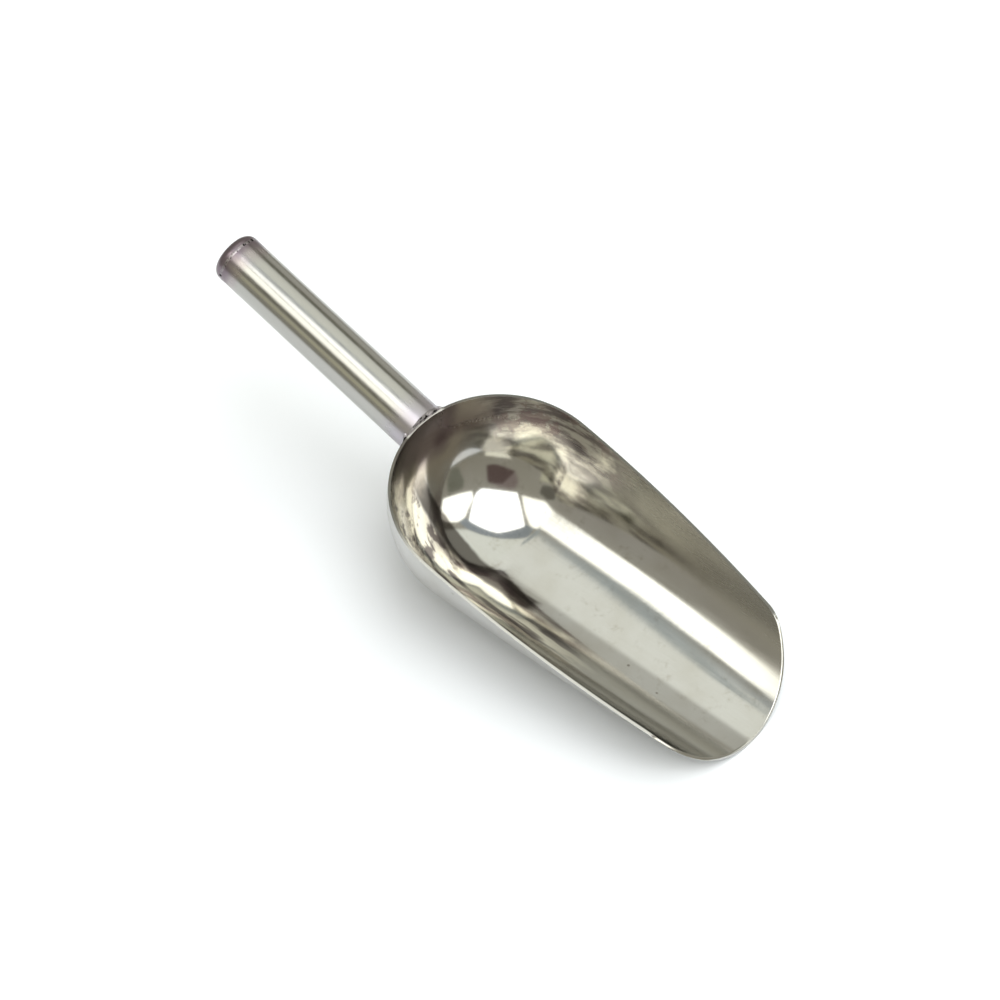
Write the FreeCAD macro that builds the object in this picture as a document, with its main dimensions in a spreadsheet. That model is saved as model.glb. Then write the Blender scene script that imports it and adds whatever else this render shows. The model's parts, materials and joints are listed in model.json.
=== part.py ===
import FreeCAD, Part

import math
import os

from FreeCAD import Placement, Rotation, Vector
from Sketcher import Constraint

# ---------------------------------------------------------------------------
# Stainless ice scoop, in millimetres.
#
# +X points from the handle to the lip, +Y across, +Z up. The scoop stands on
# the straight bottom line of its trough at Z = 0, and the origin is under the
# middle of its bounding box. The junction is the plane across the scoop where
# the rounded rear of the bowl turns into the trough.
# ---------------------------------------------------------------------------

DRIVING_DIMENSIONS = [
    # alias, value, what it is
    ("junction_x", 9.97, "X of the junction plane, from the origin"),
    ("bowl_radius", 42.0, "outside radius of the bowl at the junction"),
    ("rear_depth", 39.4, "outside depth of the rounded rear, behind the junction"),
    ("sheet_gauge", 1.0, "thickness of the bowl's sheet"),
    ("trough_length", 116.0, "station of the trough's last section, from the junction"),
    ("mouth_radius", 34.6, "outside radius of the trough at that station"),
    ("rim_height", 43.2, "height of the rim at the junction"),
    ("rim_slope", 12.6, "degrees by which the rim drops towards the lip"),
    ("corner_reach", 93.5, "sharp lip corner's distance from the junction"),
    ("lip_reach", 111.9, "lip tip's distance from the junction"),
    ("lip_bow", 98.0, "radius of the lip's outline, seen from the side"),
    ("corner_round", 14.0, "radius that rounds the lip corners"),
    ("tube_radius", 9.525, "outside radius of the handle tube"),
    ("tube_wall", 0.8, "wall of the handle tube"),
    ("tube_length", 96.5, "length of the tube's blank, from its root point"),
    ("root_dress", 0.1, "how far the tube's outside is ground down at its root point"),
    ("dress_reach", 8.6, "where that grinding has run out, from the root point"),
    ("root_reach", 33.5, "root point's distance behind the junction"),
    ("root_height", 45.3, "height of the root point"),
    ("handle_rise", 16.6, "degrees by which the handle rises towards its end"),
    ("weld_prep", 0.5, "chamfer of tube and cap under the cap's weld"),
    ("weld_crown", 0.05, "height of the cap's weld above the tube"),
    ("cap_skirt", 0.9, "straight edge of the cap"),
    ("cap_knuckle", 3.2, "outside radius of the cap's rounded edge"),
    ("cap_crown", 28.0, "outside radius of the cap's dome"),
    ("cap_gauge", 0.8, "thickness of the cap"),
    ("bead_leg", 1.6, "leg of the weld bead round the handle's root"),
    ("fill_depth", 2.6, "depth of the weld metal in the tube's mouth"),
    ("fill_lap", 1.8, "how far that weld metal laps below the rim, behind the bowl"),
]

TROUGH_SPANS = 4  # spans between the circles that the trough is lofted through
OVERSHOOT = 30.0  # cutting shapes reach this far past what they cut
AXIS_ACROSS = Vector(0, 1, 0)


def add_sheet(document):
    """Put the driving dimensions in a spreadsheet, one alias for each value."""
    sheet = document.addObject("Spreadsheet::Sheet", "sizes")
    for row, (alias, value, meaning) in enumerate(DRIVING_DIMENSIONS, start=1):
        sheet.set(f"A{row}", alias)
        sheet.set(f"B{row}", str(value))
        sheet.setAlias(f"B{row}", alias)
        sheet.set(f"C{row}", meaning)
    document.recompute()
    return {alias: float(sheet.get(alias)) for alias, value, meaning in DRIVING_DIMENSIONS}


doc = FreeCAD.newDocument("ice_scoop")
size = add_sheet(doc)  # the sheet's values as numbers, for the sketches' first shapes


# --- Small helpers -----------------------------------------------------------

def bind(thing, bindings):
    """Bind an object's properties to expressions of the sheet."""
    for name, expression in bindings.items():
        thing.setExpression(name, expression)


def origin_plane(body, role):
    return next(item for item in body.Origin.OriginFeatures if item.Role == role)


def add_sketch(body, name, role):
    sketch = body.newObject("Sketcher::SketchObject", name)
    sketch.AttachmentSupport = (origin_plane(body, role), "")
    sketch.MapMode = "FlatFace"
    return sketch


def constrain(sketch, *constraint):
    return sketch.addConstraint(Constraint(*constraint))


def dimension(sketch, name, expression, *constraint):
    """Add a named dimension to a sketch and bind it to the sheet."""
    index = constrain(sketch, *constraint)
    sketch.renameConstraint(index, name)
    sketch.setExpression(f"Constraints.{name}", expression)


def join_ends(sketch, *joints):
    """Make pairs of points coincide, each pair as (geometry, end, geometry, end)."""
    for joint in joints:
        constrain(sketch, "Coincident", *joint)


def add_boolean(kind, name, base, tool):
    result = doc.addObject(kind, name)
    result.Base = base
    result.Tool = tool
    return result


def place_on_handle(thing, distance="0"):
    """Put an object's Z axis on the handle's axis, this far out from the root point."""
    thing.Placement = Placement(Vector(), Rotation(AXIS_ACROSS, size["handle_rise"] - 90))
    bind(thing, {
        "Placement.Base.x": "(sizes.junction_x - sizes.root_reach"
                            f" - {distance} * cos(sizes.handle_rise)) * 1 mm",
        "Placement.Base.z": f"(sizes.root_height + {distance} * sin(sizes.handle_rise)) * 1 mm",
        "Placement.Rotation.Angle": "(sizes.handle_rise - 90) * 1 deg",
    })


# --- Bowl: one pressed sheet, a rounded rear and a tapering trough ------------

def shape_ellipsoid(ellipsoid, growth, junction="0"):
    """Size an ellipsoid as the bowl's rear, grown by this much, long axis along -X."""
    ellipsoid.Placement = Placement(Vector(), Rotation(AXIS_ACROSS, -90))
    bind(ellipsoid, {
        "Radius1": f"(sizes.rear_depth + {growth}) * 1 mm",
        "Radius2": f"(sizes.bowl_radius + {growth}) * 1 mm",
        "Radius3": f"(sizes.bowl_radius + {growth}) * 1 mm",
        "Placement.Base.x": f"{junction} * 1 mm",
        "Placement.Base.z": "sizes.bowl_radius * 1 mm",
    })


def add_bowl_rear(body, kind, name, growth):
    """The half of such an ellipsoid that lies behind the junction."""
    rear = body.newObject(kind, name)
    shape_ellipsoid(rear, growth)
    rear.Angle1 = 0


def add_trough_section(body, name, fraction, growth):
    """A circle across the trough; its radius falls off with the square of the distance."""
    outside = (f"(sizes.bowl_radius - (sizes.bowl_radius - sizes.mouth_radius)"
               f" * {fraction} * {fraction})")
    sketch = add_sketch(body, name, "YZ_Plane")
    bind(sketch, {".AttachmentOffset.Base.z": f"sizes.trough_length * {fraction} * 1 mm"})
    radius = size["bowl_radius"]
    circle = sketch.addGeometry(Part.Circle(Vector(0, radius, 0), Vector(0, 0, 1), radius))
    constrain(sketch, "PointOnObject", circle, 3, -2)
    dimension(sketch, "centre_height", f"{outside} * 1 mm", "DistanceY", -1, 1, circle, 3, radius)
    dimension(sketch, "skin", f"({outside} + {growth}) * 1 mm", "Radius", circle, radius)
    return sketch


def add_trough(body, kind, name, growth):
    """A smooth loft along the trough, whose bottom line stays straight and level."""
    sections = [
        add_trough_section(body, f"{name}_section_{span}", span / TROUGH_SPANS, growth)
        for span in range(TROUGH_SPANS + 1)
    ]
    trough = body.newObject(kind, name)
    trough.Profile = sections[0]
    trough.Sections = sections[1:]


def circle_through(first, second, radius):
    """The circle of this radius through two points, its centre on their right hand."""
    chord = second - first
    rightward = Vector(chord.y, -chord.x, 0) / chord.Length
    centre = (first + second) / 2 + rightward * math.sqrt(radius ** 2 - chord.Length ** 2 / 4)
    return Part.Circle(centre, Vector(0, 0, 1), radius)


def add_side_outline(body):
    """What is cut off above the rim and beyond the lip, seen from the side."""
    sketch = add_sketch(body, "side_outline", "XZ_Plane")
    slope = math.radians(size["rim_slope"])
    along_rim = Vector(math.cos(slope), -math.sin(slope), 0)
    rear_x = -size["rear_depth"] - OVERSHOOT
    front_x = size["lip_reach"] + OVERSHOOT
    top_z = 2 * size["bowl_radius"] + OVERSHOOT

    # First shapes, near enough for the constraints to pull them to size.
    rim_origin = Vector(0, size["rim_height"], 0)
    rim_rear = rim_origin + along_rim * (rear_x / along_rim.x)
    corner = rim_origin + along_rim * (size["corner_reach"] / along_rim.x)
    tip = Vector(size["lip_reach"], 0, 0)
    lip_circle = circle_through(corner, tip, size["lip_bow"])
    low_angle = math.asin((-OVERSHOOT - lip_circle.Center.y) / lip_circle.Radius)
    round_length = size["corner_round"] / 2
    rim_end = corner - along_rim * round_length / 2
    lip_angle = lip_circle.parameter(corner) - round_length / 2 / lip_circle.Radius
    round_circle = circle_through(rim_end, lip_circle.value(lip_angle), size["corner_round"])
    frame = [lip_circle.value(low_angle), Vector(front_x, -OVERSHOOT, 0),
             Vector(front_x, top_z, 0), Vector(rear_x, top_z, 0), rim_rear]

    rim = sketch.addGeometry(Part.LineSegment(rim_rear, rim_end))
    rounding = sketch.addGeometry(Part.ArcOfCircle(
        round_circle,
        round_circle.parameter(lip_circle.value(lip_angle)),
        round_circle.parameter(rim_end),
    ))
    lip = sketch.addGeometry(Part.ArcOfCircle(lip_circle, low_angle, lip_angle))
    low, front, top, rear = [
        sketch.addGeometry(Part.LineSegment(first, second))
        for first, second in zip(frame, frame[1:])
    ]
    on_rim, sharp_corner, lip_tip = [
        sketch.addGeometry(Part.Point(point), True) for point in (rim_origin, corner, tip)
    ]

    constrain(sketch, "Tangent", rim, 2, rounding, 2)
    constrain(sketch, "Tangent", rounding, 1, lip, 2)
    join_ends(sketch, (lip, 1, low, 1), (low, 2, front, 1), (front, 2, top, 1),
              (top, 2, rear, 1), (rear, 2, rim, 1))
    for level in (low, top):
        constrain(sketch, "Horizontal", level)
    for upright in (front, rear):
        constrain(sketch, "Vertical", upright)
    for point, curve in ((on_rim, rim), (on_rim, -2), (sharp_corner, rim), (sharp_corner, lip),
                         (lip_tip, lip), (lip_tip, -1)):
        constrain(sketch, "PointOnObject", point, 1, curve)
    for name, expression, *constraint in (
        ("rim_height", "sizes.rim_height", "DistanceY", -1, 1, on_rim, 1, rim_origin.y),
        ("corner_reach", "sizes.corner_reach", "DistanceX", -1, 1, sharp_corner, 1, corner.x),
        ("lip_reach", "sizes.lip_reach", "DistanceX", -1, 1, lip_tip, 1, tip.x),
        ("lip_bow", "sizes.lip_bow", "Radius", lip, lip_circle.Radius),
        ("corner_round", "sizes.corner_round", "Radius", rounding, round_circle.Radius),
        ("rear_margin", f"(sizes.rear_depth + {OVERSHOOT})", "DistanceX", rear, 1, -1, 1, -rear_x),
        ("front_margin", f"(sizes.lip_reach + {OVERSHOOT})", "DistanceX", -1, 1, front, 1, front_x),
        ("top_margin", f"(2 * sizes.bowl_radius + {OVERSHOOT})", "DistanceY", -1, 1, top, 1, top_z),
        ("low_margin", f"{OVERSHOOT}", "DistanceY", low, 2, -1, 1, OVERSHOOT),
    ):
        dimension(sketch, name, f"{expression} * 1 mm", *constraint)
    dimension(sketch, "rim_fall", "-sizes.rim_slope * 1 deg", "Angle", rim, -slope)
    return sketch


def make_bowl():
    bowl = doc.addObject("PartDesign::Body", "scoop_bowl")
    bind(bowl, {"Placement.Base.x": "sizes.junction_x * 1 mm"})
    add_bowl_rear(bowl, "PartDesign::AdditiveEllipsoid", "rear_outside", "0")
    add_trough(bowl, "PartDesign::AdditiveLoft", "trough_outside", "0")
    add_bowl_rear(bowl, "PartDesign::SubtractiveEllipsoid", "rear_inside", "-sizes.sheet_gauge")
    add_trough(bowl, "PartDesign::SubtractiveLoft", "trough_inside", "-sizes.sheet_gauge")
    trim = bowl.newObject("PartDesign::Pocket", "side_trim")
    trim.Profile = add_side_outline(bowl)
    trim.Type = "ThroughAll"
    trim.SideType = "Symmetric"
    return bowl


# --- Handle: a thin tube, coped to the bowl's rear ----------------------------

def add_bowl_form(name, growth="0"):
    """The whole ellipsoid that the bowl's rear belongs to, as a cutting shape."""
    form = doc.addObject("Part::Ellipsoid", name)
    shape_ellipsoid(form, growth, junction="sizes.junction_x")
    return form


def shape_root(cone):
    """Size a cone as the tube's outside at its root, where it is ground for the weld."""
    place_on_handle(cone)
    bind(cone, {
        "Radius1": "(sizes.tube_radius - sizes.root_dress) * 1 mm",
        "Radius2": "sizes.tube_radius * 1 mm",
        "Height": "sizes.dress_reach * 1 mm",
    })


def make_turned_body(name, add_profile, distance="0"):
    """A body turned about the handle's axis from a profile of radius and length."""
    body = doc.addObject("PartDesign::Body", name)
    place_on_handle(body, distance)
    sketch = add_sketch(body, f"{name}_profile", "XZ_Plane")
    add_profile(sketch)
    turned = body.newObject("PartDesign::Revolution", f"{name}_turned")
    turned.Profile = sketch
    turned.ReferenceAxis = (sketch, ["V_Axis"])
    turned.Angle = 360
    return body


def add_polygon(sketch, corners):
    """A closed outline through corners, each given as a radius and a length."""
    count = len(corners)
    first_shape = [
        Vector(20 + 10 * math.cos(2 * math.pi * turn / count),
               20 + 10 * math.sin(2 * math.pi * turn / count), 0)
        for turn in range(count)
    ]
    sides = [
        sketch.addGeometry(Part.LineSegment(point, first_shape[(number + 1) % count]))
        for number, point in enumerate(first_shape)
    ]
    join_ends(sketch, *((side, 2, sides[(number + 1) % count], 1)
                        for number, side in enumerate(sides)))
    for number, (radius, length) in enumerate(corners):
        dimension(sketch, f"radius_{number}", f"({radius}) * 1 mm",
                  "DistanceX", -1, 1, sides[number], 1, first_shape[number].x)
        dimension(sketch, f"length_{number}", f"({length}) * 1 mm",
                  "DistanceY", -1, 1, sides[number], 1, first_shape[number].y)


def add_tube_profile(sketch):
    bore = "sizes.tube_radius - sizes.tube_wall"
    add_polygon(sketch, [
        (bore, "0"),
        ("sizes.tube_radius - sizes.root_dress", "0"),
        ("sizes.tube_radius", "sizes.dress_reach"),
        ("sizes.tube_radius", "sizes.tube_length - sizes.weld_prep"),
        ("sizes.tube_radius - sizes.weld_prep", "sizes.tube_length"),
        (bore, "sizes.tube_length"),
    ])


def add_cap_weld_profile(sketch):
    """It fills the groove between the two chamfers, and stands a little proud."""
    add_polygon(sketch, [
        ("sizes.tube_radius - sizes.weld_prep", "sizes.weld_prep"),
        ("sizes.tube_radius", "0"),
        ("sizes.tube_radius + sizes.weld_crown", "sizes.weld_prep"),
        ("sizes.tube_radius", "2 * sizes.weld_prep"),
    ])


def add_cap_profile(sketch):
    """A pressed cap: skirt, rounded edge and shallow dome, all of one thickness."""
    edge = Vector(size["tube_radius"] - size["cap_knuckle"], size["cap_skirt"], 0)
    reach = size["cap_crown"] - size["cap_knuckle"]
    middle = Vector(0, edge.y - math.sqrt(reach ** 2 - edge.x ** 2), 0)
    lean = math.atan2(edge.y - middle.y, edge.x)
    upward = Vector(0, 0, 1)

    def add_arc(centre, radius, low, high):
        circle = Part.Circle(centre, upward, radius)
        return sketch.addGeometry(Part.ArcOfCircle(circle, low, high)), circle

    gauge = size["cap_gauge"]
    outer_edge, outer_circle = add_arc(edge, size["cap_knuckle"], 0, lean)
    outer_dome, dome_circle = add_arc(middle, size["cap_crown"], lean, math.pi / 2)
    inner_edge, inner_circle = add_arc(edge, size["cap_knuckle"] - gauge, 0, lean)
    inner_dome, hollow_circle = add_arc(middle, size["cap_crown"] - gauge, lean, math.pi / 2)
    inside = Vector(inner_circle.value(0).x, 0, 0)
    land = Vector(size["tube_radius"] - size["weld_prep"], 0, 0)
    prep = Vector(size["tube_radius"], size["weld_prep"], 0)
    foot, chamfer, skirt, top, inner_skirt = [
        sketch.addGeometry(Part.LineSegment(first, second)) for first, second in (
            (inside, land),
            (land, prep),
            (prep, outer_circle.value(0)),
            (dome_circle.value(math.pi / 2), hollow_circle.value(math.pi / 2)),
            (inner_circle.value(0), inside),
        )
    ]
    join_ends(sketch, (foot, 2, chamfer, 1), (chamfer, 2, skirt, 1), (skirt, 2, outer_edge, 1),
              (outer_dome, 2, top, 1), (top, 2, inner_dome, 2), (inner_edge, 1, inner_skirt, 1),
              (inner_skirt, 2, foot, 1), (outer_edge, 3, inner_edge, 3),
              (outer_dome, 3, inner_dome, 3))
    constrain(sketch, "Tangent", outer_edge, 2, outer_dome, 1)
    constrain(sketch, "Tangent", inner_edge, 2, inner_dome, 1)
    constrain(sketch, "PointOnObject", foot, 1, -1)
    for point in ((outer_dome, 3), (outer_dome, 2), (inner_dome, 2)):
        constrain(sketch, "PointOnObject", *point, -2)
    constrain(sketch, "Horizontal", foot)
    constrain(sketch, "Vertical", skirt)
    constrain(sketch, "Vertical", inner_skirt)
    constrain(sketch, "Horizontal", outer_edge, 1, outer_edge, 3)
    constrain(sketch, "Horizontal", inner_edge, 1, inner_edge, 3)
    for name, expression, *constraint in (
        ("outside", "sizes.tube_radius", "DistanceX", -1, 1, skirt, 1, prep.x),
        ("skirt", "sizes.cap_skirt", "DistanceY", -1, 1, outer_edge, 3, edge.y),
        ("prep_width", "sizes.weld_prep", "DistanceX", chamfer, 1, chamfer, 2, size["weld_prep"]),
        ("prep_height", "sizes.weld_prep", "DistanceY", chamfer, 1, chamfer, 2, size["weld_prep"]),
        ("knuckle", "sizes.cap_knuckle", "Radius", outer_edge, size["cap_knuckle"]),
        ("hollow", "sizes.cap_knuckle - sizes.cap_gauge", "Radius", inner_edge,
         size["cap_knuckle"] - gauge),
        ("crown", "sizes.cap_crown", "Radius", outer_dome, size["cap_crown"]),
    ):
        dimension(sketch, name, f"({expression}) * 1 mm", *constraint)


def make_tube(form):
    blank = make_turned_body("tube_blank", add_tube_profile)
    return add_boolean("Part::Cut", "handle_tube", blank, form)


# --- Weld metal ---------------------------------------------------------------

def add_above_rim(name, lap):
    """Everything above the rim's plane, or above a plane that lies this far below it."""
    block = doc.addObject("Part::Box", name)
    block.Placement = Placement(Vector(), Rotation(AXIS_ACROSS, size["rim_slope"]))
    bind(block, {
        "Length": f"2 * (sizes.rear_depth + {OVERSHOOT}) * 1 mm",
        "Width": f"2 * (sizes.bowl_radius + {OVERSHOOT}) * 1 mm",
        "Height": f"2 * sizes.bowl_radius * 1 mm",
        "Placement.Base.x": "(sizes.junction_x - cos(sizes.rim_slope)"
                            f" * (sizes.rear_depth + {OVERSHOOT})) * 1 mm",
        "Placement.Base.y": f"-(sizes.bowl_radius + {OVERSHOOT}) * 1 mm",
        "Placement.Base.z": "(sizes.rim_height + sin(sizes.rim_slope)"
                            f" * (sizes.rear_depth + {OVERSHOOT}) - {lap}) * 1 mm",
        "Placement.Rotation.Angle": "sizes.rim_slope * 1 deg",
    })
    return block


def crossing_edges(shape):
    """The edges where the cone meets the ellipsoid: they lie on both surfaces."""
    cones = [face for face in shape.Faces if face.Surface.TypeId == "Part::GeomCone"]
    shells = [face for face in shape.Faces if face.Surface.TypeId == "Part::GeomBSplineSurface"]

    def is_on(edge, faces):
        return any(edge.isSame(other) for face in faces for other in face.Edges)

    return [
        f"Edge{number}" for number, edge in enumerate(shape.Edges, start=1)
        if is_on(edge, cones) and is_on(edge, shells)
    ]


def make_root_bead(form):
    """A bead round the tube's root: cone and ellipsoid joined, chamfered, then taken away."""
    body = doc.addObject("PartDesign::Body", "bead_form")
    shell = body.newObject("PartDesign::AdditiveEllipsoid", "bead_form_bowl")
    shape_ellipsoid(shell, "0", junction="sizes.junction_x")
    shell.Angle1 = -90
    stem = body.newObject("PartDesign::AdditiveCone", "bead_form_tube")
    shape_root(stem)
    doc.recompute()
    slope = body.newObject("PartDesign::Chamfer", "bead_form_slope")
    slope.Base = (stem, crossing_edges(stem.Shape))
    bind(slope, {"Size": "sizes.bead_leg * 1 mm"})
    outside_bowl = add_boolean("Part::Cut", "bead_outside_bowl", body, form)
    root = doc.addObject("Part::Cone", "tube_root")
    shape_root(root)
    outside_tube = add_boolean("Part::Cut", "bead_outside_tube", outside_bowl, root)
    return add_boolean("Part::Cut", "handle_weld_bead", outside_tube,
                       add_above_rim("above_rim", "0"))


def make_mouth_fill(form):
    """Weld metal in the tube's mouth, from just below the rim up to the tube's top."""
    rod = doc.addObject("Part::Cylinder", "fill_rod")
    place_on_handle(rod)
    bind(rod, {
        "Radius": "(sizes.tube_radius - sizes.tube_wall) * 1 mm",
        "Height": "sizes.tube_length * 1 mm",
    })
    plug = doc.addObject("Part::MultiCommon", "fill_plug")
    plug.Shapes = [
        rod,
        add_bowl_form("fill_reach", "sizes.fill_depth"),
        add_above_rim("fill_top", "sizes.fill_lap"),
    ]
    return add_boolean("Part::Cut", "handle_weld_fill", plug, form)


# --- Assembly -----------------------------------------------------------------

bowl_form = add_bowl_form("bowl_form")
pieces = [
    make_bowl(),
    make_tube(bowl_form),
    make_turned_body("handle_end_cap", add_cap_profile, "sizes.tube_length"),
    make_root_bead(bowl_form),
    make_mouth_fill(bowl_form),
    make_turned_body("end_cap_weld", add_cap_weld_profile,
                     "(sizes.tube_length - sizes.weld_prep)"),
]
doc.recompute()

for thing in doc.Objects:
    if "Invalid" in thing.State or "Error" in thing.State:
        raise SystemExit(f"{thing.Name} failed: {thing.State}")
    if thing.TypeId == "Sketcher::SketchObject" and not thing.FullyConstrained:
        raise SystemExit(f"{thing.Name} is not fully constrained")
for piece in pieces:
    if piece.Shape.isNull() or not piece.Shape.isValid() or len(piece.Shape.Solids) != 1:
        raise SystemExit(f"{piece.Label} has no single valid solid")

os.makedirs("parts", exist_ok=True)
for piece in pieces:
    piece.Shape.exportStep(f"parts/{piece.Label}.step")
    print(f"{piece.Label}: {piece.Shape.Volume:.1f} mm3")
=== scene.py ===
import json
import math

import bmesh
import bpy
import numpy as np
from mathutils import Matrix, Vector, noise


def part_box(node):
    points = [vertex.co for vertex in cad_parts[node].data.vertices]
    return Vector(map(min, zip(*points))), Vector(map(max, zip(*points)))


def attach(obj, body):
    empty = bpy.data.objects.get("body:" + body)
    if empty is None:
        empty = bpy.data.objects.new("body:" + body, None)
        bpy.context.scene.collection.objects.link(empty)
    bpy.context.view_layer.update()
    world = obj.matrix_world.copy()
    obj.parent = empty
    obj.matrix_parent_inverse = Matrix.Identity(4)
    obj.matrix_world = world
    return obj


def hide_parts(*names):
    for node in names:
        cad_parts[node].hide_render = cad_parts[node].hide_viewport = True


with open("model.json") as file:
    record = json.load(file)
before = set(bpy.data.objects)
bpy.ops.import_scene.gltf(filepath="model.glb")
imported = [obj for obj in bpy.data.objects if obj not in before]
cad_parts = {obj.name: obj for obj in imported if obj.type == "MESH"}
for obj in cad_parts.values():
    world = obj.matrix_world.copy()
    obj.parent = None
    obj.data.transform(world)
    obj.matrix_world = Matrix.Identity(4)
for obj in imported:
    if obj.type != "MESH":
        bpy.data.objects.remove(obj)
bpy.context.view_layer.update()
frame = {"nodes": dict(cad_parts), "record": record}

# ---------------------------------------------------------------------------
# Stainless ice scoop. +X points from the handle to the lip, +Z up, metres.
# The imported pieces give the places. The lengths below are in millimetres,
# measured from the junction, where the rounded rear turns into the trough.
# ---------------------------------------------------------------------------

MM = 0.001

BOWL_RADIUS = 42.0
REAR_DEPTH = 39.4
GAUGE = 1.0
TROUGH_LENGTH = 116.0
MOUTH_RADIUS = 34.6
RIM_HEIGHT = 43.2
RIM_SLOPE = math.radians(12.6)
CORNER_REACH = 93.5
LIP_REACH = 111.9
LIP_BOW = 98.0
CORNER_ROUND = 14.0
EDGE_ROUND = 0.3  # how far the rim's two edges are broken
REAR_RUN = 64.0  # length of a meridian from the rear's pole to the junction, about

# Waviness of the pressed sheet.
SWELL = 0.018
RIPPLE = 0.006
SETTLE_HEIGHT = 6.0  # it fades below this height, so the bottom line stays on its level

# Fineness of the meshes.
HALF_MERIDIANS = 220
SKIN_ROWS = 108
ROUND_STEPS = 4
LAST_ROW_GAP = 0.2  # between the last even row and where the edge is broken
EDGE_SAMPLES = 4001
HALVINGS = 50
WELD_VOXEL = 0.16

handle_mount = frame["record"]["mounts"][0]
handle_axis = Vector(handle_mount["axis"]).normalized()
handle_rise = math.asin(handle_axis.z)
junction_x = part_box("scoop_bowl")[1].x / MM - LIP_REACH


# --- Meshes --------------------------------------------------------------------

def add_object(name, mesh):
    thing = bpy.data.objects.new(name, mesh)
    bpy.context.scene.collection.objects.link(thing)
    return thing


def add_piece(name, mesh, slot, material, *nodes):
    """A visible piece that stands for CAD nodes and rides on the one body."""
    piece = add_object(name, mesh)
    mesh.materials.clear()
    mesh.materials.append(material)
    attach(piece, "root")
    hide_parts(*nodes)
    return piece


# --- Bowl ----------------------------------------------------------------------

def side_circle(first, second, radius):
    """Centre of the circle through two points of the side view, on their right hand."""
    chord = second - first
    length = np.hypot(*chord)
    rightward = np.array([chord[1], -chord[0]]) / length
    return (first + second) / 2 + rightward * math.sqrt(radius ** 2 - length ** 2 / 4)


rim_normal = np.array([math.sin(RIM_SLOPE), math.cos(RIM_SLOPE)])
rim_origin = np.array([0.0, RIM_HEIGHT])
lip_corner = rim_origin + CORNER_REACH * np.array([1.0, -math.tan(RIM_SLOPE)])
lip_centre = side_circle(lip_corner, np.array([LIP_REACH, 0.0]), LIP_BOW)


def corner_centre():
    """Centre of the arc that rounds the lip's corner: it touches the rim and the lip."""
    foot = rim_origin - CORNER_ROUND * rim_normal
    along = np.array([math.cos(RIM_SLOPE), -math.sin(RIM_SLOPE)])
    to_foot = foot - lip_centre
    half = to_foot @ along
    reach = (LIP_BOW - CORNER_ROUND) ** 2 - to_foot @ to_foot
    return foot + along * (-half + math.sqrt(half ** 2 + reach))


round_centre = corner_centre()
round_low = math.atan2(*(round_centre - lip_centre)[::-1])
round_high = math.pi / 2 - RIM_SLOPE


def inside_outline(x, z):
    """How far a point of the side view lies inside the bowl's trimmed outline."""
    under_rim = (rim_origin[0] - x) * rim_normal[0] + (rim_origin[1] - z) * rim_normal[1]
    within_lip = LIP_BOW - np.hypot(x - lip_centre[0], z - lip_centre[1])
    from_round = np.hypot(x - round_centre[0], z - round_centre[1])
    angle = np.arctan2(z - round_centre[1], x - round_centre[0])
    at_corner = (angle > round_low) & (angle < round_high)
    trimmed = np.where(x > lip_centre[0], np.minimum(under_rim, within_lip), under_rim)
    return np.where(at_corner, CORNER_ROUND - from_round, trimmed)


def bowl_point(run, turn, depth):
    """Points on the bowl's skin, `depth` inside its outer face. A meridian starts at the
    rear's pole; `turn` is its angle round the bowl's axis, from the bottom line."""
    rear = run < REAR_RUN
    swing = np.clip(run / REAR_RUN, 0, 1) * math.pi / 2
    along = np.where(rear, -(REAR_DEPTH - depth) * np.cos(swing), run - REAR_RUN)
    share = np.clip(along, 0, None) / TROUGH_LENGTH
    outer = BOWL_RADIUS - (BOWL_RADIUS - MOUTH_RADIUS) * share ** 2
    radius = np.where(rear, (BOWL_RADIUS - depth) * np.sin(swing), outer - depth)
    return np.stack([along, radius * np.sin(turn), outer - radius * np.cos(turn)], -1)


def run_to_edge(turn, depth):
    """Length of each meridian up to the trimmed edge, by halving."""
    low = np.zeros_like(turn)
    high = np.full_like(turn, REAR_RUN + TROUGH_LENGTH)
    for _ in range(HALVINGS):
        middle = (low + high) / 2
        point = bowl_point(middle, turn, depth)
        inside = inside_outline(point[..., 0], point[..., 2]) > 0
        low = np.where(inside, middle, low)
        high = np.where(inside, high, middle)
    return low


def even_turns(count):
    """Meridians that meet the edge at even steps along it."""
    turns = np.linspace(0, math.pi, EDGE_SAMPLES)
    edge = bowl_point(run_to_edge(turns, 0.0), turns, 0.0)
    steps = np.linalg.norm(np.diff(edge, axis=0), axis=1)
    length = np.concatenate([[0], np.cumsum(steps)])
    half = np.interp(np.linspace(0, length[-1], count + 1), length, turns)
    return np.concatenate([half, -half[-2:0:-1]])


def waviness(points):
    """A pressed sheet is never quite true: a slow swell of some hundredths."""
    x, y, z = points[..., 0], points[..., 1], points[..., 2]
    swell = np.sin(x / 11.0 + 0.6 * np.sin(y / 17.0) + 1.3) * np.cos(y / 13.0 + z / 19.0)
    ripple = np.sin(x / 5.1 - y / 7.3 + 2.1) * np.sin(z / 6.7 + x / 23.0)
    return SWELL * swell + RIPPLE * ripple


def skin_rows(turns, depth, rows):
    """Rows of one skin from near the pole to where its edge is broken, and the edge."""
    edge_run = run_to_edge(turns, depth)
    shares = np.linspace(0, 1, rows + 1)[1:]
    last = edge_run - EDGE_ROUND
    run = np.concatenate([
        shares[None, :] * (last - LAST_ROW_GAP)[:, None],
        last[:, None],
        edge_run[:, None],
    ], axis=1)
    return bowl_point(run, turns[:, None], depth)


def round_off(start, corner, end, steps):
    """A quarter round that leaves `start` towards `corner` and arrives at `end`."""
    share = np.linspace(0, 1, steps + 1)[1:-1, None, None]
    curve = (1 - share) ** 2 * start + 2 * share * (1 - share) * corner + share ** 2 * end
    return np.moveaxis(curve, 0, 1)


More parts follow.
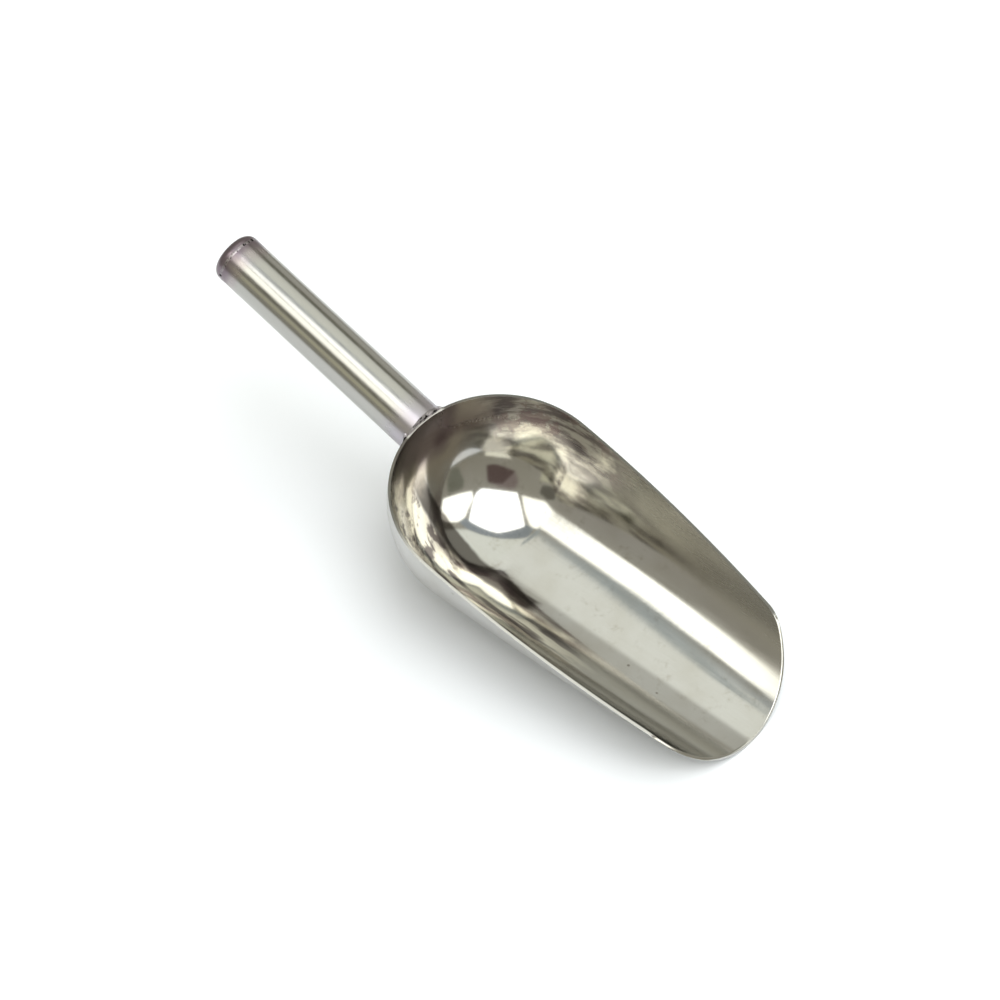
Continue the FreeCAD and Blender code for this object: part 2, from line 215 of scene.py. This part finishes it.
def make_bowl_mesh():
    """Both skins and the rim's land between them, as one closed grid of meridians."""
    turns = even_turns(HALF_MERIDIANS)
    outer = skin_rows(turns, 0.0, SKIN_ROWS)
    inner = skin_rows(turns, GAUGE, SKIN_ROWS)
    across = inner[:, -1] - outer[:, -1]
    width = np.linalg.norm(across, axis=1, keepdims=True)
    outer_land = outer[:, -1] + across * EDGE_ROUND / width
    inner_land = inner[:, -1] - across * EDGE_ROUND / width
    grid = np.concatenate([
        outer[:, :-1],
        round_off(outer[:, -2], outer[:, -1], outer_land, ROUND_STEPS),
        outer_land[:, None],
        inner_land[:, None],
        round_off(inner_land, inner[:, -1], inner[:, -2], ROUND_STEPS),
        inner[:, -2::-1],
    ], axis=1)

    # Both skins swell together, so the sheet keeps its gauge.
    outward = -np.stack([np.zeros(grid.shape[:2]), grid[..., 1],
                         grid[..., 2] - BOWL_RADIUS], -1)
    outward /= np.maximum(np.linalg.norm(outward, axis=-1, keepdims=True), 1e-9)
    settled = np.clip(grid[..., 2:3] / SETTLE_HEIGHT, 0, 1)
    grid = grid + outward * waviness(grid)[..., None] * settled

    around, rows = grid.shape[:2]
    poles = bowl_point(np.zeros(2), np.zeros(2), np.array([0.0, GAUGE]))
    points = np.concatenate([grid.reshape(-1, 3), poles])
    points[:, 0] += junction_x
    first, last = around * rows, around * rows + 1
    faces = []
    for i in range(around):
        j = (i + 1) % around
        faces.append((first, j * rows, i * rows))
        for row in range(rows - 1):
            faces.append((i * rows + row, j * rows + row, j * rows + row + 1, i * rows + row + 1))
        faces.append((last, i * rows + rows - 1, j * rows + rows - 1))
    mesh = bpy.data.meshes.new("bowl")
    mesh.from_pydata((points * MM).tolist(), [], faces)
    mesh.shade_smooth()
    return mesh


# --- Weld metal ------------------------------------------------------------------

def connected_parts(form):
    """The sets of vertices that edges join to each other."""
    found = set()
    parts = []
    for start in form.verts:
        if start in found:
            continue
        found.add(start)
        part = [start]
        for vertex in part:  # the list grows while it is walked
            for edge in vertex.link_edges:
                other = edge.other_vert(vertex)
                if other not in found:
                    found.add(other)
                    part.append(other)
        parts.append(part)
    return parts


def make_weld_mesh(node, lump, coarse):
    """The CAD bead's shape as a fine skin, with the lumps and pits of real weld metal."""
    source = frame["nodes"][node]
    work = add_object("work_" + node, source.data.copy())
    remesh = work.modifiers.new("skin", "REMESH")
    remesh.mode = "VOXEL"
    remesh.voxel_size = WELD_VOXEL * MM
    smooth = work.modifiers.new("ease", "SMOOTH")
    smooth.factor = 0.5
    smooth.iterations = 3
    depsgraph = bpy.context.evaluated_depsgraph_get()
    mesh = bpy.data.meshes.new_from_object(work.evaluated_get(depsgraph))
    bpy.data.objects.remove(work)
    form = bmesh.new()
    form.from_mesh(mesh)
    crumbs = sorted(connected_parts(form), key=len)[:-1]  # the remesh leaves a few
    bmesh.ops.delete(form, geom=[vertex for part in crumbs for vertex in part],
                     context="VERTS")
    form.normal_update()
    for vertex in form.verts:
        place = vertex.co / MM
        rise = noise.noise(place / coarse) + 0.5 * noise.noise(place / (0.45 * coarse))
        pit = min(0.0, noise.noise(place / 0.9 + Vector((7, 3, 5))) + 0.25)
        vertex.co += vertex.normal * (rise * lump + pit * 1.6 * lump) * MM
    form.to_mesh(mesh)
    form.free()
    mesh.shade_smooth()
    mesh.name = node
    return mesh


# --- Materials -------------------------------------------------------------------

class Nodes:
    """Short calls for building a shader's node tree."""

    def __init__(self, tree):
        self.tree = tree

    def add(self, kind, **settings):
        node = self.tree.nodes.new(kind)
        for name, value in settings.items():
            setattr(node, name, value)
        return node

    def link(self, value, socket):
        if isinstance(value, bpy.types.NodeSocket):
            self.tree.links.new(value, socket)
        elif isinstance(value, (tuple, list)) and len(value) == 3 and socket.type == "RGBA":
            socket.default_value = (*value, 1.0)
        else:
            socket.default_value = value

    def math(self, operation, *values):
        node = self.add("ShaderNodeMath", operation=operation)
        for value, socket in zip(values, node.inputs):
            self.link(value, socket)
        return node.outputs[0]

    def vector(self, operation, *values):
        node = self.add("ShaderNodeVectorMath", operation=operation)
        for value, socket in zip(values, node.inputs):
            self.link(value, socket)
        gives_number = operation in ("DOT_PRODUCT", "LENGTH", "DISTANCE")
        return node.outputs["Value" if gives_number else 0]

    def ramp(self, value, low, high, to_low=0.0, to_high=1.0):
        """Smooth step of a value from low to high."""
        node = self.add("ShaderNodeMapRange", interpolation_type="SMOOTHSTEP")
        for item, socket in zip((value, low, high, to_low, to_high), node.inputs):
            self.link(item, socket)
        return node.outputs[0]

    def mix(self, factor, first, second):
        node = self.add("ShaderNodeMix", data_type="RGBA")
        self.link(factor, node.inputs["Factor"])
        self.link(first, node.inputs[6])
        self.link(second, node.inputs[7])
        return node.outputs[2]

    def paint(self, colour, coat, mask, cover):
        """A coat of another colour over this one where the mask is 1."""
        return self.mix(self.math("MULTIPLY", mask, cover), colour, coat)

    def product(self, first, *others):
        for other in others:
            first = self.math("MULTIPLY", first, other)
        return first

    def noise(self, place, scale, detail=2.0, rough=0.5):
        node = self.add("ShaderNodeTexNoise")
        self.link(place, node.inputs["Vector"])
        self.link(scale, node.inputs["Scale"])
        self.link(detail, node.inputs["Detail"])
        self.link(rough, node.inputs["Roughness"])
        return node.outputs[0]

    def mapped(self, place, stretch=(1, 1, 1), rotation=(0, 0, 0), shift=(0, 0, 0)):
        node = self.add("ShaderNodeMapping")
        self.link(place, node.inputs["Vector"])
        node.inputs["Location"].default_value = shift
        node.inputs["Rotation"].default_value = rotation
        node.inputs["Scale"].default_value = stretch
        return node.outputs[0]


def new_material(name):
    material = bpy.data.materials.new(name)
    material.use_nodes = True
    nodes = Nodes(material.node_tree)
    shader = material.node_tree.nodes["Principled BSDF"]
    shader.inputs["Metallic"].default_value = 1.0
    return material, nodes, shader


def millimetres(nodes):
    """The point being shaded, in millimetres of the row's frame."""
    place = nodes.add("ShaderNodeTexCoord").outputs["Object"]
    return nodes.vector("MULTIPLY", place, (1000.0, 1000.0, 1000.0))


FINE_BUMP = 0.006  # height of the sheet's and the tube's grain, in millimetres
WELD_BUMP = 0.12


def add_bump(nodes, shader, height, distance):
    """Bump of a height from 0 to 1 that stands for `distance` millimetres."""
    bump = nodes.add("ShaderNodeBump")
    bump.inputs["Strength"].default_value = 1.0
    bump.inputs["Distance"].default_value = distance * MM
    nodes.link(height, bump.inputs["Height"])
    nodes.link(bump.outputs[0], shader.inputs["Normal"])


def distance_to(nodes, place, point):
    return nodes.vector("DISTANCE", place, tuple(point))


# Each tint with the heat at which it starts, and at which it covers the one before.
HEAT_TINTS = [
    (0.10, 0.40, (0.55, 0.50, 0.44)),
    (0.40, 0.65, (0.36, 0.30, 0.30)),
    (0.70, 0.95, (0.28, 0.24, 0.27)),
]


def heat_tint(nodes, colour, heat):
    """Steel's tints as it was heated: straw, then brown and a dim violet."""
    for cool, hot, tint in HEAT_TINTS:
        colour = nodes.mix(nodes.ramp(heat, cool, hot), colour, tint)
    return colour


def below_rim(nodes, place):
    """How far a point lies under the plane of the rim, in millimetres."""
    level = rim_origin @ rim_normal + junction_x * rim_normal[0]
    height = nodes.vector("DOT_PRODUCT", place, (rim_normal[0], 0.0, rim_normal[1]))
    return nodes.math("SUBTRACT", level, height)


def bowl_facing(nodes, place):
    """Two masks from the way a point faces: the skin that holds the ice, and the rim's land."""
    normal = nodes.add("ShaderNodeNewGeometry").outputs["Normal"]
    away = nodes.vector("SUBTRACT", place, (junction_x, 0.0, BOWL_RADIUS))
    inside = nodes.ramp(nodes.vector("DOT_PRODUCT", normal, away), 5.0, -5.0)
    upward = nodes.vector("DOT_PRODUCT", normal, (rim_normal[0], 0.0, rim_normal[1]))
    shallow = nodes.ramp(below_rim(nodes, place), 0.7, 0.3)
    return inside, nodes.product(nodes.ramp(upward, 0.2, 0.7), shallow)


# The bowl's tones. They were set by comparing renders with the photograph, and aren't
# measured reflectances.
BARE_STEEL = ((0.57, 0.565, 0.545), (0.63, 0.63, 0.62))
CLOUDED = (0.55, 0.54, 0.51)
STAINED = (0.43, 0.41, 0.37)
PITTED = (0.16, 0.14, 0.11)
# Painted reflection: the darker tone of the upper inner wall.
UPPER_WALL_PAINTED_REFLECTION = (0.52, 0.505, 0.47)
# Painted reflection: the darker tone of the near wall.
NEAR_WALL_PAINTED_REFLECTION = (0.40, 0.39, 0.36)
# Painted reflection in the rear: two dark tones banded together, and darker blots in it.
REAR_REFLECTION_TONES = ((0.13, 0.112, 0.115), (0.42, 0.405, 0.37))
BLOT = (0.15, 0.10, 0.105)
# Painted reflection: the bright tone of two patches in the rear.
REAR_BRIGHT_REFLECTION = (0.88, 0.855, 0.75)
# Painted reflections: the dark and the light streaks on the near side.
NEAR_SIDE_REFLECTION_STREAKS = ((0.17, 0.15, 0.14), (0.78, 0.75, 0.65))
# Painted reflection: the tone of the dark strip.
SHADE = (0.115, 0.105, 0.095)
# The rim's cut edge: painted shade and painted highlight.
RIM_SHADE_AND_HIGHLIGHT = ((0.12, 0.115, 0.105), (0.70, 0.69, 0.68))

# Patches of bright painted reflection in the rear: centres from the junction, and reaches.
BRIGHT_REFLECTION_PATCHES = [((-14.0, 33.0, 26.0), 17.0), ((12.0, 40.0, 33.0), 11.0)]

# The middle of the handle's joint inside the bowl, and on its rim.
JOINT = (junction_x - REAR_DEPTH * 0.93, 0.0, 49.0)
JOINT_RIM = (junction_x - REAR_DEPTH, 0.0, 51.0)


def bright_reflection_patch(nodes, place, centre, reach):
    """A ragged round patch of painted reflection inside the bowl, its centre measured from the
    junction.
    """
    ragged = nodes.noise(nodes.mapped(place, (1.0, 0.7, 1.6)), 0.13, 3.0, 0.6)
    spread = distance_to(nodes, place, (junction_x + centre[0], centre[1], centre[2]))
    spread = nodes.math("MULTIPLY_ADD", ragged, 12.0, spread)
    return nodes.ramp(spread, reach, reach - 5.0)


def bare_colour(nodes, place, streaks, clouds):
    """The steel as pressed: streaked and clouded, with small stains and a few pits."""
    colour = nodes.mix(streaks, *BARE_STEEL)
    colour = nodes.mix(nodes.ramp(clouds, 0.35, 0.75), colour, CLOUDED)
    stains = nodes.noise(place, 0.22, 5.0, 0.65)
    colour = nodes.mix(nodes.ramp(stains, 0.54, 0.78, 0.0, 0.55), colour, STAINED)
    pits = nodes.add("ShaderNodeTexVoronoi")
    nodes.link(place, pits.inputs["Vector"])
    nodes.link(0.10, pits.inputs["Scale"])
    pit = nodes.ramp(pits.outputs["Distance"], 0.075, 0.03)
    return nodes.paint(colour, PITTED, pit, 0.6)


def rear_reflection_colour(nodes, place):
    """Painted reflection inside the rear: dark, banded and blotted, and bright in two patches."""
    bands = nodes.noise(nodes.mapped(place, (0.07, 0.07, 0.30)), 1.2, 5.0, 0.6)
    colour = nodes.mix(nodes.ramp(bands, 0.40, 0.64), *REAR_REFLECTION_TONES)
    blots = nodes.noise(nodes.mapped(place, shift=(5.0, 2.0, 9.0)), 0.11, 4.0, 0.55)
    colour = nodes.mix(nodes.ramp(blots, 0.53, 0.57, 0.0, 0.6), colour, BLOT)
    patches = [bright_reflection_patch(nodes, place, *patch) for patch in BRIGHT_REFLECTION_PATCHES]
    return nodes.paint(colour, REAR_BRIGHT_REFLECTION, nodes.math("MAXIMUM", *patches), 0.9)


def near_side_reflection_colour(nodes, place):
    """Painted reflections on the near side: lengthwise light and dark streaks."""
    reflection_streaks = nodes.noise(nodes.mapped(place, (0.035, 0.24, 0.24)), 1.0, 3.0, 0.5)
    return nodes.mix(nodes.ramp(reflection_streaks, 0.38, 0.54), *NEAR_SIDE_REFLECTION_STREAKS)


def rim_shade_and_highlight(nodes, place, along, side):
    """The rim's cut edge: painted shade, with painted highlights on its near side and in a line
    by the joint.
    """
    near_side = nodes.product(nodes.ramp(along, -20.0, 0.0), nodes.ramp(side, -8.0, -20.0))
    by_joint = nodes.ramp(distance_to(nodes, place, JOINT_RIM), 10.5, 8.5)
    return nodes.mix(nodes.math("MAXIMUM", near_side, by_joint), *RIM_SHADE_AND_HIGHLIGHT)


def joint_heat(nodes, place):
    """How hot the steel got round the joint, with a ragged border."""
    reach = nodes.noise(place, 0.09, 3.0)
    spread = nodes.math("ADD", distance_to(nodes, place, JOINT),
                        nodes.math("MULTIPLY", reach, 14.0))
    return nodes.ramp(spread, 46.0, 10.0)


def make_bowl_steel():
    material, nodes, shader = new_material("bowl_steel")
    place = millimetres(nodes)
    streaks = nodes.noise(nodes.mapped(place, (0.03, 0.9, 0.9)), 2.2, 4.0, 0.6)
    clouds = nodes.noise(place, 0.06, 3.0)

    # Where a point is: how far forward of the junction, to which side, and under the rim.
    # The clouds make the borders ragged.
    spot = nodes.add("ShaderNodeSeparateXYZ")
    nodes.link(place, spot.inputs[0])
    along = nodes.math("SUBTRACT", spot.outputs[0], junction_x)
    side = spot.outputs[1]
    across = nodes.math("MULTIPLY_ADD", clouds, 5.0, side)
    depth = nodes.math("ADD", below_rim(nodes, place), nodes.math("MULTIPLY", clouds, 10.0))

    # Painted reflections, as the photograph shows them, that the room doesn't give: areas
    # painted lighter or darker on the upper and the near wall, in the rear, in streaks on the
    # near side, and a dark strip. Unlike reflections they stay in place from every angle.
    inside, land = bowl_facing(nodes, place)
    # The upper wall: painted reflection in its colour, satin in its roughness.
    wall = nodes.product(inside, nodes.ramp(depth, 24.0, 12.0))
    # The near wall: painted reflection, darker.
    near_wall = nodes.product(inside, nodes.ramp(across, -7.0, -11.0))
    # The rear: painted reflection, dark, in its colour, and a little rougher.
    rear_reflection_and_rough = nodes.product(inside, nodes.ramp(along, 36.0, 4.0), nodes.ramp(depth, 34.0, 14.0))
    # The near side: painted reflections in lengthwise streaks.
    near_side_reflection = nodes.product(inside, nodes.ramp(along, 62.0, 24.0),
                            nodes.ramp(across, -6.0, -8.0))
    # A dark strip of painted reflection in the rear, just to the near side of the middle.
    strip = nodes.product(nodes.ramp(across, 0.5, -1.0), nodes.ramp(across, -8.0, -6.0))
    shade = nodes.product(inside, strip, nodes.ramp(along, 22.0, 17.0))

    colour = bare_colour(nodes, place, streaks, clouds)
    # Painted reflections over the bare steel: walls, rear, near-side streaks and the dark strip.
    colour = nodes.paint(colour, UPPER_WALL_PAINTED_REFLECTION, wall, 0.9)
    colour = nodes.paint(colour, NEAR_WALL_PAINTED_REFLECTION, near_wall, 0.9)
    colour = nodes.paint(colour, rear_reflection_colour(nodes, place), rear_reflection_and_rough, 0.95)
    colour = nodes.paint(colour, near_side_reflection_colour(nodes, place), near_side_reflection, 0.95)
    colour = nodes.paint(colour, SHADE, shade, 0.95)
    heat = nodes.math("MULTIPLY", joint_heat(nodes, place), 0.8)
    colour = heat_tint(nodes, colour, heat)
    # Painted shade and highlights on the rim's land.
    colour = nodes.paint(colour, rim_shade_and_highlight(nodes, place, along, side), land, 0.85)
    nodes.link(colour, shader.inputs["Base Color"])

    polish = nodes.ramp(streaks, 0.3, 0.8, 0.07, 0.12)
    far_side = nodes.ramp(side, 0.0, 15.0, 0.05, 0.17)
    satin = nodes.math("MULTIPLY_ADD", wall, far_side, polish)
    nodes.link(nodes.math("MULTIPLY_ADD", rear_reflection_and_rough, 0.06, satin), shader.inputs["Roughness"])

    grain = nodes.noise(nodes.mapped(place, (0.05, 1.0, 1.0)), 5.0, 3.0, 0.6)
    drawn = nodes.ramp(along, -30.0, 0.0, 0.0, 0.15)  # the rear's pole has no grain
    dimples = nodes.noise(place, 0.35, 2.0)
    add_bump(nodes, shader, nodes.math("MULTIPLY_ADD", grain, drawn, dimples), FINE_BUMP)
    return material


def along_handle(nodes, place):
    """How far out along the handle a point lies, from the tube's middle, in millimetres."""
    middle = Vector(handle_mount["pos_m"]) / MM
    return nodes.math("SUBTRACT", nodes.vector("DOT_PRODUCT", place, tuple(handle_axis)),
                      handle_axis.dot(middle))


# The handle's colours: its steel, the tint at its root, and two tints at its end.
TUBE_STEEL = ((0.455, 0.448, 0.428), (0.53, 0.523, 0.503))
ROOT_TINT = (0.49, 0.46, 0.50)
END_TINT = (0.46, 0.42, 0.425)
END_BURNT = (0.25, 0.205, 0.235)


def make_handle_steel():
    material, nodes, shader = new_material("handle_steel")
    place = millimetres(nodes)
    out = along_handle(nodes, place)
    turned = nodes.mapped(place, rotation=(0, -handle_rise, 0))
    grain = nodes.noise(nodes.mapped(turned, (0.06, 1.0, 1.0)), 3.0, 4.0, 0.65)
    clouds = nodes.noise(turned, 0.12, 3.0)
    colour = nodes.mix(grain, *TUBE_STEEL)
    ragged = nodes.math("MULTIPLY", nodes.math("SUBTRACT", clouds, 0.5), 8.0)
    reach = nodes.math("ADD", out, ragged)
    root_heat = nodes.ramp(reach, -32.0, -45.0)
    end_heat = nodes.ramp(reach, 33.0, 45.0)
    colour = nodes.mix(root_heat, colour, ROOT_TINT)
    colour = nodes.mix(nodes.ramp(end_heat, 0.0, 0.5), colour, END_TINT)
    colour = nodes.mix(nodes.ramp(end_heat, 0.5, 1.0), colour, END_BURNT)
    nodes.link(colour, shader.inputs["Base Color"])
    polish = nodes.ramp(grain, 0.3, 0.8, 0.18, 0.25)
    scaled = nodes.math("MAXIMUM", root_heat, end_heat)
    nodes.link(nodes.math("MULTIPLY_ADD", scaled, 0.12, polish), shader.inputs["Roughness"])
    height = nodes.math("ADD", grain, nodes.math("MULTIPLY", clouds, 2.0))
    add_bump(nodes, shader, height, FINE_BUMP)
    return material


# Painted shade: the near black of the weld's holes.
WELD_HOLE_SHADE = (0.012, 0.011, 0.012)


def make_weld_metal(name, dark, light):
    """Lumpy metal between two tones, lighter on the lumps; nearly black holes of painted shade.
    """
    material, nodes, shader = new_material(name)
    place = millimetres(nodes)
    lumps = nodes.noise(place, 0.8, 4.0, 0.6)
    pits = nodes.noise(nodes.mapped(place, shift=(3.0, 1.0, 2.0)), 0.55, 2.0, 0.5)
    colour = nodes.mix(nodes.ramp(lumps, 0.35, 0.65), dark, light)
    holes = nodes.ramp(pits, 0.43, 0.38)
    colour = nodes.mix(holes, colour, WELD_HOLE_SHADE)
    nodes.link(colour, shader.inputs["Base Color"])
    nodes.link(nodes.math("MULTIPLY_ADD", holes, 0.3, 0.34), shader.inputs["Roughness"])
    add_bump(nodes, shader, lumps, WELD_BUMP)
    return material


# --- The room, as the steel sees it ----------------------------------------------

def direction(azimuth, elevation):
    a, e = math.radians(azimuth), math.radians(elevation)
    return Vector((math.cos(e) * math.cos(a), math.cos(e) * math.sin(a), math.sin(e)))


def patch_mask(nodes, ray, corners, soft):
    """1 where a ray meets a patch of the room between the corners, with soft edges."""
    points = [direction(*corner) for corner in corners]
    middle = sum(points, Vector())
    blur = math.sin(math.radians(soft))
    mask = 1.0
    for first, second in zip(points, points[1:] + points[:1]):
        inward = first.cross(second).normalized()
        if inward.dot(middle) < 0:
            inward.negate()
        side = nodes.ramp(nodes.vector("DOT_PRODUCT", ray, tuple(inward)), -blur, blur)
        mask = nodes.math("MULTIPLY", mask, side)
    return mask


# What stands round the scoop, painted one over the other: a name, how soft the edges
# are (degrees), the radiance, and the corners as azimuth and elevation (degrees).
# Most of these numbers were made by another program: it turned outlines drawn over the
# photographed bowl's reflections into angles, and colours sampled there into radiances.
# Some were then changed.
ROOM = [
    ("ceiling", 2.0, (1.05, 1.07, 0.96),
     [(127, 60), (116, 52), (92, 43), (71, 35), (52, 26), (45, 37), (38, 52), (208, 68)]),
    ("pale_wall", 3.0, (0.56, 0.55, 0.49), [(117, 23), (74, 28), (75, -1), (113, -5)]),
    ("ceiling_edge", 4.0, (0.66, 0.66, 0.59),
     [(119, 25), (108, 30), (117, 56), (144, 68), (158, 56)]),
    ("ceiling_near", 3.5, (1.07, 1.08, 0.98),
     [(134, 45), (112, 54), (199, 75), (214, 68), (213, 53)]),
    ("dark_shelf", 1.5, (0.16, 0.16, 0.12),
     [(108, 30), (117, 53), (92, 44), (73, 35), (90, 32)]),
    ("wall_strip", 1.5, (0.47, 0.45, 0.37),
     [(52, 26), (43, 20), (43, 27), (32, 38), (35, 44)]),
    ("beam", 1.0, (0.37, 0.41, 0.43),
     [(207, 69), (39, 50), (35, 40), (27, 41), (254, 71), (229, 62)]),
    ("main_window", 1.2, (2.80, 2.82, 2.74),
     [(245, 71), (25, 79), (26, 48), (355, 34), (347, 33), (300, 45)]),
    ("right_window", 1.2, (2.30, 2.28, 2.06),
     [(43, 27), (43, 20), (28, 14), (6, 26), (358, 30), (1, 37), (25, 43), (35, 39)]),
    ("left_window", 1.5, (2.30, 2.28, 2.06),
     [(220, 49), (225, 62), (253, 69), (278, 60), (298, 48), (285, 43), (267, 40),
      (254, 41), (237, 33)]),
    ("beam_end", 1.0, (0.47, 0.52, 0.51), [(215, 60), (177, 71), (189, 72), (228, 56)]),
    ("dark_sill", 1.5, (0.17, 0.16, 0.13),
     [(246, 33), (254, 39), (269, 38), (270, 30), (259, 26), (250, 24)]),
    ("maroon_chair", 3.0, (0.28, 0.23, 0.21),
     [(306, 43), (331, 36), (339, 26), (327, 16), (306, 24), (300, 35)]),
    ("brown_door", 1.5, (0.14, 0.10, 0.09),
     [(338, 30), (336, 13), (328, 14), (306, 24), (322, 36)]),
    ("olive_screen", 2.0, (0.22, 0.22, 0.17),
     [(21, 16), (17, 6), (8, -1), (2, 2), (1, 17), (6, 22)]),
    ("bright_shelf", 1.5, (1.21, 1.18, 0.97),
     [(311, 11), (316, 3), (336, -6), (336, 3), (321, 9)]),
    ("cream_shelf", 2.5, (0.67, 0.65, 0.47),
     [(249, 20), (275, 27), (276, 18), (261, 11), (253, 8)]),
]

# The dark wall behind the handle: the way to it, the shares of that way between which it
# comes in, and its radiance.
BACK_WALL = (Vector((-1.0, 0.01, -0.14)), 0.305, 0.320, (0.41, 0.39, 0.335))

# The room's own tone, low and overhead, and the plain backdrop that the camera sees.
ROOM_LOW = (0.35, 0.33, 0.27)
ROOM_HIGH = (0.47, 0.455, 0.385)
BACKDROP = (0.98, 0.985, 0.985)


def make_world():
    world = bpy.data.worlds.new("room")
    bpy.context.scene.world = world
    world.use_nodes = True
    nodes = Nodes(world.node_tree)
    background = world.node_tree.nodes["Background"]
    ray = nodes.add("ShaderNodeTexCoord").outputs["Generated"]
    up = nodes.vector("DOT_PRODUCT", ray, (0.0, 0.0, 1.0))
    colour = nodes.mix(up, ROOM_LOW, ROOM_HIGH)
    for _, soft, radiance, corners in ROOM:
        colour = nodes.mix(patch_mask(nodes, ray, corners, soft), colour, radiance)
    toward, near, far, radiance = BACK_WALL
    behind = nodes.ramp(nodes.vector("DOT_PRODUCT", ray, tuple(toward)), near, far)
    colour = nodes.mix(behind, colour, radiance)
    seen = nodes.add("ShaderNodeLightPath").outputs["Is Camera Ray"]
    nodes.link(nodes.mix(seen, colour, BACKDROP), background.inputs["Color"])


# --- Floor, fill light and camera --------------------------------------------------

FLOOR_REACH = 6  # metres
PAPER = ((0.853, 0.883, 0.932), (0.873, 0.902, 0.950))
TABLE = (0.24, 0.235, 0.20)
SHEET_EDGE = (0.30, 0.60)  # metres from the scoop over which the sheet gives way to the table
TABLE_SHARE = 0.16  # the least part of the table's tone in what the steel sees


def make_floor():
    mesh = bpy.data.meshes.new("floor")
    far = FLOOR_REACH
    mesh.from_pydata([(-far, -far, 0), (far, -far, 0), (far, far, 0), (-far, far, 0)], [],
                     [(0, 1, 2, 3)])
    floor = add_object("floor", mesh)
    material = bpy.data.materials.new("floor_paint")
    material.use_nodes = True
    nodes = Nodes(material.node_tree)
    shader = material.node_tree.nodes["Principled BSDF"]
    place = nodes.add("ShaderNodeTexCoord").outputs["Object"]
    tone = nodes.noise(place, 3.0, 2.0)
    paper = nodes.mix(tone, *PAPER)
    # The steel sees where the pale sheet ends and the dark table starts; the camera doesn't.
    off_sheet = nodes.ramp(nodes.vector("LENGTH", place), *SHEET_EDGE)
    seen = nodes.add("ShaderNodeLightPath").outputs["Is Camera Ray"]
    table = nodes.product(nodes.math("MAXIMUM", off_sheet, TABLE_SHARE),
                          nodes.math("SUBTRACT", 1.0, seen))
    nodes.link(nodes.mix(table, paper, TABLE), shader.inputs["Base Color"])
    shader.inputs["Roughness"].default_value = 0.9
    shader.inputs["Specular IOR Level"].default_value = 0.1
    mesh.materials.append(material)


def make_fill_light():
    """A broad overhead lamp that lifts the floor; the steel doesn't show it."""
    lamp = bpy.data.lights.new("fill", "AREA")
    lamp.shape = "DISK"
    lamp.size = 1.6
    lamp.energy = 11.0
    light = add_object("fill", lamp)
    light.location = (0.3, 0.4, 1.7)
    light.rotation_euler = (-light.location).to_track_quat("-Z", "Y").to_euler()
    light.visible_glossy = False
    light.visible_camera = False


def make_camera():
    """A long lens that looks down on the scoop from its near front corner."""
    data = bpy.data.cameras.new("camera")
    data.sensor_width = 36.0
    data.lens = 88.7
    data.shift_x = -0.001
    data.shift_y = 0.001
    data.clip_start = 0.01
    camera = add_object("camera", data)
    azimuth, elevation, distance = math.radians(-48.64), math.radians(49.78), 0.84687
    target = Vector((0.0110, -0.0032, 0.0419))
    back = Vector((math.cos(elevation) * math.cos(azimuth),
                   math.cos(elevation) * math.sin(azimuth),
                   math.sin(elevation)))
    camera.location = target + back * distance
    camera.rotation_euler = (-back).to_track_quat("-Z", "Y").to_euler()
    bpy.context.scene.camera = camera


# --- Assembly ------------------------------------------------------------------------

bowl_steel = make_bowl_steel()
handle_steel = make_handle_steel()
weld_metal = make_weld_metal("weld_metal", (0.44, 0.41, 0.44), (0.74, 0.71, 0.75))
seam_metal = make_weld_metal("seam_metal", (0.24, 0.21, 0.23), (0.46, 0.42, 0.44))

add_piece("bowl_sheet", make_bowl_mesh(), "bowl_steel", bowl_steel, "scoop_bowl")
add_piece("root_weld", make_weld_mesh("handle_weld_bead", lump=0.26, coarse=1.3),
          "weld_metal", weld_metal, "handle_weld_bead")
add_piece("mouth_weld", make_weld_mesh("handle_weld_fill", lump=0.42, coarse=1.5),
          "weld_metal", weld_metal, "handle_weld_fill")
for node, material in (("handle_tube", handle_steel), ("handle_end_cap", handle_steel),
                       ("end_cap_weld", seam_metal)):
    materials = frame["nodes"][node].data.materials
    materials.clear()
    materials.append(material)

make_world()
make_floor()
make_fill_light()
make_camera()
bpy.context.scene.view_settings.view_transform = "Standard"
